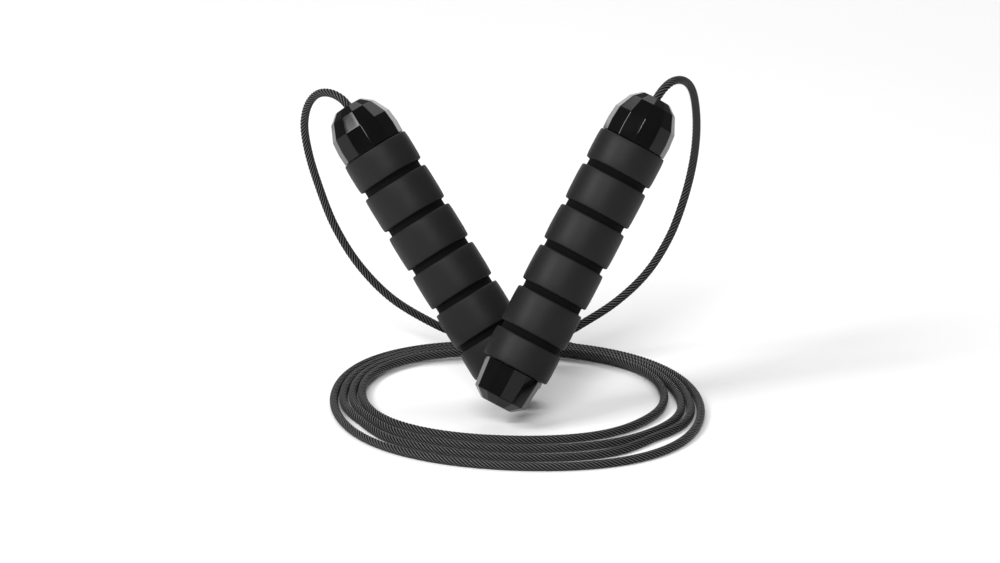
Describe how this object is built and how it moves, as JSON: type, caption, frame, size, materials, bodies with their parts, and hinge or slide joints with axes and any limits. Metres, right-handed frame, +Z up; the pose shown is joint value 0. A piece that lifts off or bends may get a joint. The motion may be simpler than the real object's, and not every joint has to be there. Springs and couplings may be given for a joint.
{
  "type": "jump rope",
  "caption": "Speed jump rope: foam-covered handles with faceted caps and ball-bearing heads stand crossed in a loose coil of sheathed steel rope.",
  "frame": {"origin": "on the floor, under the middle of the box around the two handles", "axes": "+X from the left handle's side to the right handle's side, +Y from the front to the back, where the rope tails come down, +Z up"},
  "size_m": [0.1912, 0.184, 0.1536],
  "materials": {
    "grip_foam": "matte",
    "cap_plastic": "gloss",
    "tube_plastic": "satin",
    "bearing_steel": "polished",
    "screw_steel": "satin",
    "sleeve_brass": "satin",
    "stopper_aluminium": "satin",
    "washer_nylon": "satin",
    "rope_sheath": "gloss"
  },
  "bodies": {
    "rope": {"rope_coil": "rope_sheath", "left_rope_tail": "rope_sheath", "left_rope_end": "rope_sheath", "left_swivel_sleeve": "sleeve_brass", "left_bearing_inner_race": "bearing_steel", "left_thrust_washer": "washer_nylon", "right_rope_tail": "rope_sheath", "right_rope_end": "rope_sheath", "right_swivel_sleeve": "sleeve_brass", "right_bearing_inner_race": "bearing_steel", "right_thrust_washer": "washer_nylon"},
    "left_handle": {"left_core_tube": "tube_plastic", "left_foam_grip": "grip_foam", "left_head_cap": "cap_plastic", "left_bearing_outer_race": "bearing_steel", "left_bearing_retainer": "tube_plastic"},
    "left_bearing_cage": {"left_bearing_ball_cage": "bearing_steel"},
    "left_end_cap": {"left_end_cap": "cap_plastic"},
    "left_stopper": {"left_rope_stopper": "stopper_aluminium", "left_stopper_screw": "screw_steel"},
    "right_handle": {"right_core_tube": "tube_plastic", "right_foam_grip": "grip_foam", "right_head_cap": "cap_plastic", "right_bearing_outer_race": "bearing_steel", "right_bearing_retainer": "tube_plastic"},
    "right_bearing_cage": {"right_bearing_ball_cage": "bearing_steel"},
    "right_end_cap": {"right_end_cap": "cap_plastic"},
    "right_stopper": {"right_rope_stopper": "stopper_aluminium", "right_stopper_screw": "screw_steel"}
  },
  "joints": [
    {"name": "left_handle_spin", "type": "hinge", "parent": "rope", "child": "left_handle", "pos_m": [0.01158, -0.00612, 0.00453], "axis": [-0.5234, 0.2774, 0.8057], "continuous": true},
    {"name": "left_cage_spin", "type": "hinge", "parent": "rope", "child": "left_bearing_cage", "pos_m": [0.01158, -0.00612, 0.00453], "axis": [-0.5234, 0.2774, 0.8057], "continuous": true},
    {"name": "left_end_cap_unscrew", "type": "hinge", "parent": "left_handle", "child": "left_end_cap", "pos_m": [0.01158, -0.00612, 0.00453], "axis": [0.5234, -0.2774, -0.8057], "range_deg": [0, 1080]},
    {"name": "left_stopper_slide", "type": "slide", "parent": "rope", "child": "left_stopper", "axis": [0.5234, -0.2774, -0.8057], "range_m": [0, 0.03]},
    {"name": "right_handle_spin", "type": "hinge", "parent": "rope", "child": "right_handle", "pos_m": [-0.0027, -0.03891, 0.01183], "axis": [0.4641, 0.2884, 0.8375], "continuous": true},
    {"name": "right_cage_spin", "type": "hinge", "parent": "rope", "child": "right_bearing_cage", "pos_m": [-0.0027, -0.03891, 0.01183], "axis": [0.4641, 0.2884, 0.8375], "continuous": true},
    {"name": "right_end_cap_unscrew", "type": "hinge", "parent": "right_handle", "child": "right_end_cap", "pos_m": [-0.0027, -0.03891, 0.01183], "axis": [-0.4641, -0.2884, -0.8375], "range_deg": [0, 1080]},
    {"name": "right_stopper_slide", "type": "slide", "parent": "rope", "child": "right_stopper", "axis": [-0.4641, -0.2884, -0.8375], "range_m": [0, 0.03]}
  ],
  "couplings": [
    {"joint": "left_cage_spin", "follows": "left_handle_spin", "ratio": 0.5667},
    {"joint": "right_cage_spin", "follows": "right_handle_spin", "ratio": 0.5667}
  ]
}
